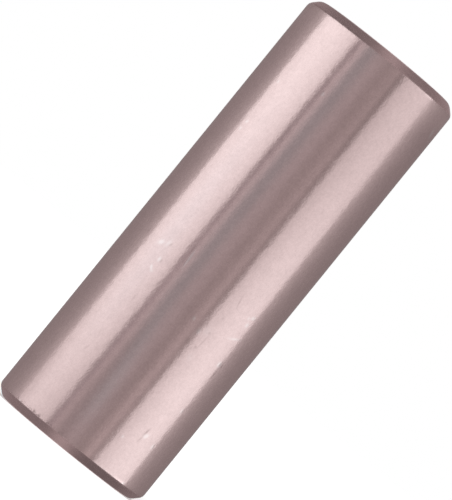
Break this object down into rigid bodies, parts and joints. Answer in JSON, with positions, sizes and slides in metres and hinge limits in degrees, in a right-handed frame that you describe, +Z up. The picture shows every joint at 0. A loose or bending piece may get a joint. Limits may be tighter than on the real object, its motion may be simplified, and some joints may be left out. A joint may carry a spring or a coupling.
{
  "type": "gudgeon pin",
  "caption": "Hollow cylindrical steel pin with a polished barrel and chamfered ends, which joins a piston to its connecting rod.",
  "frame": {"origin": "middle of the lower end face, on the pin's axis", "axes": "+Z up along the pin's axis, from the lower end face to the upper one; X and Y are alike, because the pin is round"},
  "size_m": [0.02, 0.02, 0.0557],
  "materials": {
    "polished_steel": "polished"
  },
  "bodies": {
    "root": {"gudgeon_pin": "polished_steel"}
  },
  "joints": []
}
